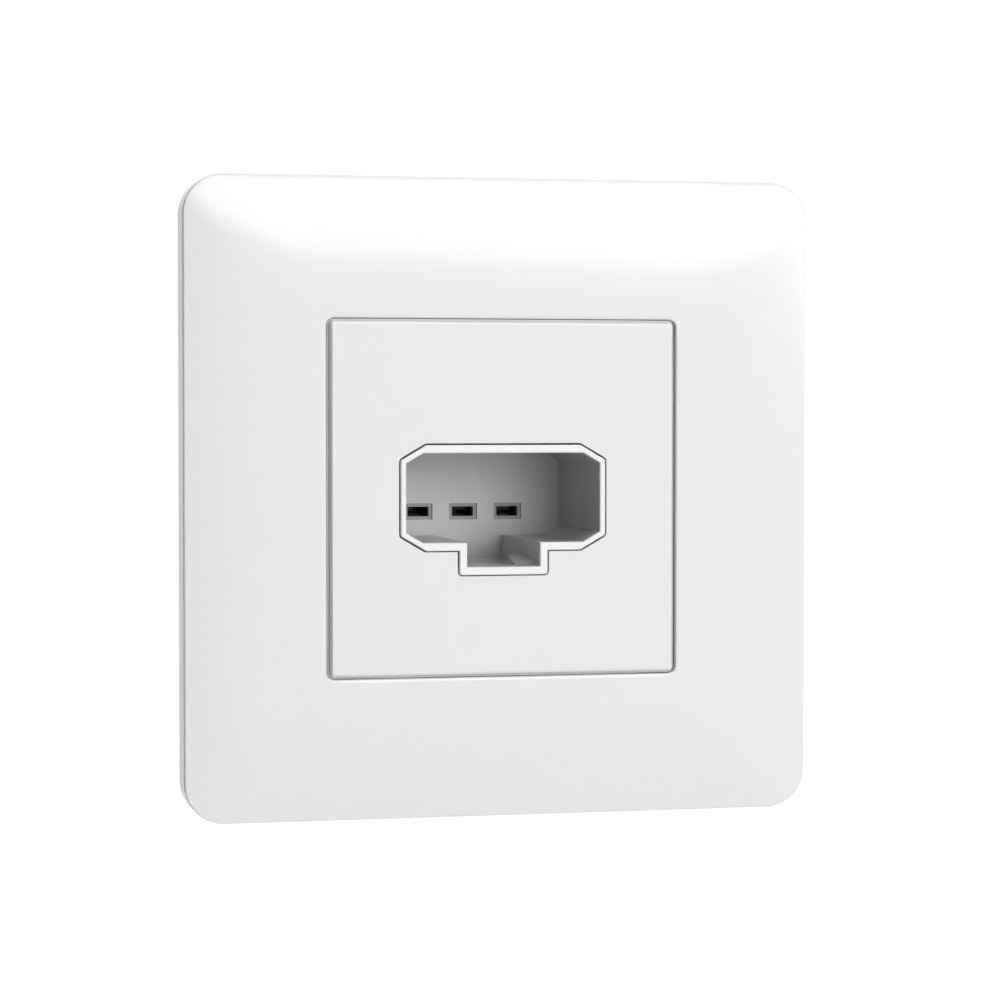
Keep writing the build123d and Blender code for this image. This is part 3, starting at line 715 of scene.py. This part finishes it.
class OUTLET_OT_plate(Operator):
    """Builds the cover plate as one ring-shaped surface"""

    bl_idname = "outlet.plate"
    bl_label = "Cover plate"

    def execute(self, context):
        """Carries the plate's cross-section round a family of rounded squares.

        The rows run from the opening over the front, down the edge with its groove, and back
        through the hollow to the opening. On the front the height is
        edge height + swell (1 - s ** power), where s is the point's outline share.
        """
        size = context.scene.outlet_plate
        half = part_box("cover_plate")[1][0]
        opening = size.opening

        def front(along):
            return size.edge_height + size.swell * (1 - along ** size.swell_power)

        inwards, down = bevel(size.bevel_power, size.round_steps)
        lip_top = front((opening + size.opening_bevel) / half)
        lip_half = opening + size.opening_bevel * inwards
        lip_height = lip_top - size.opening_bevel * down
        lip_radius = size.opening_corner + lip_half - opening

        fall = np.degrees(np.arctan(size.swell_power * size.swell / half))
        edge = quarter(90 - fall, 0, size.round_steps)
        edge_half = half - size.edge_round * (1 - np.cos(edge))
        edge_top = front(edge_half[0] / half)
        edge_height = edge_top + size.edge_round * (np.sin(edge) - np.sin(edge[0]))
        edge_radius = size.corner - (half - edge_half)

        t = np.linspace(0, 1, size.front_steps + 1)[1:-1]
        t = t + FRONT_CROWDING * t * (1 - t)
        front_half = lip_half[-1] + (edge_half[0] - lip_half[-1]) * t
        front_radius = lip_radius[-1] + (edge_radius[0] - lip_radius[-1]) * t
        front_height = front(front_half / half)

        inner = half - size.wall
        collar = opening + size.collar
        groove_top = size.groove_height + size.groove_width
        groove_in = half - size.groove_depth
        tail = np.array([
            (half, groove_top, size.corner),
            (groove_in, groove_top, size.corner - size.groove_depth),
            (groove_in, size.groove_height, size.corner - size.groove_depth),
            (half, size.groove_height, size.corner),
            (half, size.foot_round, size.corner),
            (half - size.foot_round, 0.0, size.corner - size.foot_round),
            (inner, 0.0, size.corner - size.wall),
            (inner, size.cavity, size.corner - size.wall),
            (collar, size.cavity, size.opening_corner),
            (collar, size.collar_foot, size.opening_corner),
            (opening, size.collar_foot, size.opening_corner),
        ])
        row_half = np.concatenate([lip_half, front_half, edge_half, tail[:, 0]])
        row_height = np.concatenate([lip_height, front_height, edge_height, tail[:, 1]])
        row_radius = np.concatenate([lip_radius, front_radius, edge_radius, tail[:, 2]])
        x, z = rounded_square(row_half, row_radius, size.arc_steps, size.side_steps)
        height = np.repeat(row_height[:, None], x.shape[1], axis=1)
        swell_rows = slice(len(lip_half) - 1, len(lip_half) + len(front_half))
        height[swell_rows] = front(outline_share(x[swell_rows], z[swell_rows], half, size.corner))
        points = np.stack([x, -height, z], axis=-1).reshape(-1, 3)
        quads = ring_faces(*x.shape)

        legs = context.scene.outlet_legs
        profile = leg_profile(legs, size.collar_foot, opening, size.collar)
        piece = put_with_legs("pillow_plate", points, quads, legs, profile, legs.plate_place,
                              [0, 0, 180, 180])
        finish = context.scene.outlet_finish
        # Painted shade on the opening's side walls and its left and right bevels. The box of that darker
        # tone ends just below the lip, so that it stays off the front.
        below_lip = lip_top - size.opening_bevel / 8
        gap = (opening + size.opening_bevel, below_lip, opening - size.opening_bevel)
        place_piece(piece, "cover_plate",
                    moulded_white("plate gloss white", finish.white, finish.gloss, grain=0.05,
                                  painted_shades=[((0.0, 0.0, 0.0), gap, finish.gap)]))
        return {"FINISHED"}


class OUTLET_OT_insert(Operator):
    """Builds the square insert with its keyed cut-out"""

    bl_idname = "outlet.insert"
    bl_label = "Square insert"

    def execute(self, context):
        """Joins rings of the keyed cut-out to rings of the rounded square, ray by ray.

        All rings are met by the same rays from one centre, so row and column form a closed grid:
        up the cut-out's wall, over its rounding, across the flat face, down the outer bevel to
        the step, out along it, down the side, and back inside the skirt. The narrow hold beside
        each rounding keeps the shading of the face flat.
        """
        size = context.scene.outlet_insert
        mouth = context.scene.outlet_socket
        half = size.half
        step = context.scene.outlet_plate.opening - size.step_gap

        def cut_out(extra):
            grow = size.gap + extra
            return keyed_outline(mouth, size.rim_side + grow, size.rim_top + grow,
                                 size.rim_top + size.gap_below + extra, size.rim_key + grow,
                                 size.side_round + extra, size.key_round + extra, size.arc_steps)

        def square(width, radius):
            x, z = rounded_square(width, radius, size.arc_steps, size.arc_steps)
            return np.stack([x[0], z[0]], axis=1)

        front = size.front
        cut_arc = quarter(180, 90, size.round_steps)
        inwards, down = size.edge_bevel * np.array(bevel(size.bevel_power, size.round_steps))
        outer = square(half, size.corner)
        rows = [(cut_out(0.0), front - size.face)]
        rows += [(cut_out(size.cut_round * (1 + cos(a))), front - size.cut_round * (1 - sin(a)))
                 for a in cut_arc]
        rows += [(cut_out(size.cut_round + HOLD), front)]
        rows += [(square(half - size.edge_bevel - HOLD, size.corner), front)]
        rows += [(square(half - across, size.corner), front - drop)
                 for across, drop in zip(inwards[::-1], down[::-1])]
        rows += [
            (outer, front - size.step_depth),
            (square(step, size.corner + step - half), front - size.step_depth),
            (square(step, size.corner + step - half), size.foot),
            (square(half - size.skirt, size.corner / 2), size.foot),
            (square(half - size.skirt, size.corner / 2), front - size.face),
        ]
        both = np.concatenate([cut_out(0.0), outer])
        bearings = np.sort(bearings_of(both, RAY_CENTRE))
        bearings = bearings[np.diff(bearings, prepend=-np.inf) > SAME_BEARING]
        rings = np.stack([polar_ring(ring, RAY_CENTRE, bearings) for ring, _ in rows])
        heights = np.array([height for _, height in rows])
        height = np.repeat(heights[:, None], len(bearings), axis=1)
        points = np.stack([rings[..., 0], -height, rings[..., 1]], axis=-1).reshape(-1, 3)
        quads = ring_faces(len(rows), len(bearings))

        legs = context.scene.outlet_legs
        profile = leg_profile(legs, size.foot, half - size.skirt, size.skirt)
        piece = put_with_legs("square_insert", points, quads, legs, profile, legs.insert_place,
                              [90, 90, 270, 270])
        finish = context.scene.outlet_finish
        # Painted shade in the gap round the insert, on its step and sides: paler above, where more light
        # falls in, and on the left bevel as dark as in the gap.
        painted_gap_tones = (finish.gap, finish.gap, finish.gap, (1.0 + finish.gap) / 2)
        painted_shades = [(*box, tone) for box, tone in zip(frame_boxes(half - HOLD, step + HOLD), painted_gap_tones)]
        painted_shades += [(*frame_boxes(half - size.edge_bevel, step + HOLD)[0], finish.gap)]
        place_piece(piece, "insert_cover",
                    moulded_white("insert gloss white", finish.white, finish.gloss, grain=0.05,
                                  painted_shades=painted_shades))
        return {"FINISHED"}


class OUTLET_OT_mouldings(Operator):
    """Finishes the socket and the grey housing behind it"""

    bl_idname = "outlet.mouldings"
    bl_label = "Socket and housing"

    def execute(self, context):
        """Gives the moulded construction nodes their plastics, with painted shade in the socket's well.
        """
        finish = context.scene.outlet_finish
        mouth = context.scene.outlet_socket
        # Painted shade: darker tones in the well, on its right wall and ceiling, and in the slots'
        # recesses.
        painted_shades = [(mouth.well_place, mouth.well_reach, finish.well),
                  (mouth.wall_place, mouth.wall_reach, finish.painted_lee_shade),
                  (mouth.ceiling_place, mouth.ceiling_reach, finish.painted_lee_shade),
                  (mouth.recess_place, mouth.recess_reach, finish.painted_recess_shade)]
        finish_node("socket_body", moulded_white("socket satin white", finish.socket,
                                                 finish.satin, grain=0.08, painted_shades=painted_shades))
        grey = glass_filled("glass-filled grey", finish.housing)
        finish_node("contact_carrier", grey)
        finish_node("rear_cover", grey)
        return {"FINISHED"}


class OUTLET_OT_metalwork(Operator):
    """Finishes the frame, the screws, the terminals and the contacts"""

    bl_idname = "outlet.metalwork"
    bl_label = "Frame, screws and contacts"

    def execute(self, context):
        """Gives the metal construction nodes their metals."""
        finish = context.scene.outlet_finish
        finish_node("mounting_frame", galvanised("galvanised sheet", finish.zinc))
        plated = drawn_metal("plated screw steel", finish.screw, roughness=0.26,
                             run=(0.3, 1.0, 0.3), tarnish=0.25)
        tinned = drawn_metal("tinned strip", finish.tin, roughness=0.55,
                             run=(1.0, 0.1, 1.0), tarnish=0.3)
        brass = drawn_metal("terminal brass", finish.brass, roughness=0.28,
                            run=(1.0, 0.1, 1.0), tarnish=0.4)
        finish_node("frame_screws", plated)
        finish_node("housing_screws", plated)
        for pole in ("live", "earth", "neutral"):
            finish_node("contact_" + pole, tinned)
            finish_node("terminal_" + pole, brass)
            finish_node("terminal_screw_" + pole, plated)
            finish_node("pressure_plate_" + pole, plated)
        return {"FINISHED"}


class OUTLET_OT_stage(Operator):
    """Sets up the floor, the lamps, the world and the camera"""

    bl_idname = "outlet.stage"
    bl_label = "Studio stage"

    def execute(self, context):
        """Makes a plain pale studio with a long soft box and lamps for front, top, side and back."""
        stage = context.scene.outlet_stage
        self.lay_floor(context, stage)
        self.light_world(context, stage)
        lamp = self.hang_lamp(context, "soft box", "key")
        turned = Quaternion((0.0, 0.0, 1.0), stage.key_roll)
        lamp.rotation_quaternion = lamp.rotation_quaternion @ turned
        self.hang_lamp(context, "front lamp", "front").visible_glossy = False
        self.hang_lamp(context, "top lamp", "top")
        self.hang_lamp(context, "side lamp", "side")
        self.hang_lamp(context, "back lamp", "back").visible_glossy = False
        self.set_camera(context, stage)
        context.scene.view_settings.view_transform = "Standard"
        return {"FINISHED"}

    def lay_floor(self, context, stage):
        """A level square sheet that glows white for the camera and that no gloss shows."""
        fresh_start("floor")
        side = np.linspace(-0.5, 0.5, 2) * stage.floor_size
        x, y = np.meshgrid(side, side)
        points = np.stack([x, y, 0 * x - stage.floor_drop], axis=-1).reshape(-1, 3)
        mesh = bpy.data.meshes.new("floor")
        mesh.from_pydata(points.tolist(), [], [(0, 1, 3, 2)])
        floor = bpy.data.objects.new("floor", mesh)
        context.scene.collection.objects.link(floor)
        made, graph = new_material("pale floor")
        place = graph.object_place()
        white = stage.floor_white
        cloud = graph.noise(place, scale=3.0)
        pale = graph.blend(cloud, (white, white, white, 1.0), dimmed((white,) * 3, 1.02))
        diffuse = graph.add("ShaderNodeBsdfDiffuse", {}, {"Color": pale})
        glow = graph.add("ShaderNodeEmission", {}, {"Strength": self.seen(graph)
                                                    * stage.floor_glow})
        graph.surface(graph.add("ShaderNodeAddShader", {}, {0: diffuse, 1: glow}))
        mesh.materials.append(made)
        floor.visible_glossy = False

    def seen(self, graph):
        """1 for rays from the camera, from a gloss or through glass, else 0."""
        rays = [graph.add("ShaderNodeLightPath", output=name)
                for name in ("Is Camera Ray", "Is Glossy Ray", "Is Transmission Ray")]
        return rays[0].most(rays[1]).most(rays[2])

    def light_world(self, context, stage):
        """White for the eye, a plain fill for everything else."""
        world = bpy.data.worlds.get("studio") or bpy.data.worlds.new("studio")
        context.scene.world = world
        graph = Graph(world)
        strength = stage.fill + self.seen(graph) * (1.0 - stage.fill)
        graph.surface(graph.add("ShaderNodeBackground", {}, {"Color": (1.0, 1.0, 1.0, 1.0),
                                                             "Strength": strength}))

    def hang_lamp(self, context, name, group):
        """A rectangular soft lamp that faces the outlet, from the settings that start with group.

        Its power follows from its radiance L and its size: P = L pi w h.
        """
        fresh_start(name)
        stage = context.scene.outlet_stage
        azimuth, elevation, width, tall, radiance = (
            getattr(stage, f"{group}_{setting}")
            for setting in ("azimuth", "elevation", "width", "tall", "radiance"))
        lamp = bpy.data.lights.new(name, "AREA")
        lamp.shape = "RECTANGLE"
        lamp.size = width
        lamp.size_y = tall
        lamp.energy = radiance * pi * width * tall
        held = bpy.data.objects.new(name, lamp)
        out = Vector((sin(azimuth) * cos(elevation), -cos(azimuth) * cos(elevation),
                      sin(elevation)))
        held.location = out * stage.lamp_distance
        held.rotation_mode = "QUATERNION"
        held.rotation_quaternion = out.to_track_quat("Z", "Y")
        context.scene.collection.objects.link(held)
        return held

    def set_camera(self, context, stage):
        """The camera of the picture."""
        fresh_start("picture camera")
        lens = bpy.data.cameras.new("picture camera")
        lens.lens = stage.lens
        lens.sensor_width = SENSOR_WIDTH
        lens.clip_start = CLIP_START
        lens.clip_end = CLIP_END
        camera = bpy.data.objects.new("picture camera", lens)
        place = Vector(stage.camera_place)
        camera.location = place
        camera.rotation_mode = "QUATERNION"
        look = Vector(stage.camera_target) - place
        camera.rotation_quaternion = look.to_track_quat("-Z", "Y")
        context.scene.collection.objects.link(camera)
        context.scene.camera = camera


OPERATORS = (OUTLET_OT_plate, OUTLET_OT_insert, OUTLET_OT_mouldings, OUTLET_OT_metalwork,
             OUTLET_OT_stage)
SETTINGS = {
    "outlet_plate": PlateSettings,
    "outlet_insert": InsertSettings,
    "outlet_socket": SocketSettings,
    "outlet_legs": LegSettings,
    "outlet_finish": FinishSettings,
    "outlet_stage": StageSettings,
}


class OUTLET_PT_sidebar(Panel):
    """Lists the outlet's pieces and settings"""

    bl_label = "Lighting outlet"
    bl_idname = "OUTLET_PT_sidebar"
    bl_space_type = "VIEW_3D"
    bl_region_type = "UI"
    bl_category = "Outlet"

    def draw(self, context):
        """Draws a button for each operator, then each group of settings."""
        for operator in OPERATORS:
            self.layout.operator(operator.bl_idname)
        for name, group in SETTINGS.items():
            box = self.layout.box()
            box.label(text=group.__doc__)
            for setting in group.__annotations__:
                box.prop(getattr(context.scene, name), setting)


CLASSES = (*SETTINGS.values(), *OPERATORS, OUTLET_PT_sidebar)


def register():
    """Registers the classes and hangs the settings on the scene."""
    for cls in CLASSES:
        bpy.utils.register_class(cls)
    for name, group in SETTINGS.items():
        setattr(bpy.types.Scene, name, PointerProperty(type=group))


def unregister():
    """Takes the settings and classes away again."""
    for name in SETTINGS:
        delattr(bpy.types.Scene, name)
    for cls in reversed(CLASSES):
        bpy.utils.unregister_class(cls)


def main():
    """Registers the classes and settings, then builds the pieces and the stage."""
    register()
    bpy.ops.outlet.plate()
    bpy.ops.outlet.insert()
    bpy.ops.outlet.mouldings()
    bpy.ops.outlet.metalwork()
    bpy.ops.outlet.stage()


if __name__ == "__main__":
    main()
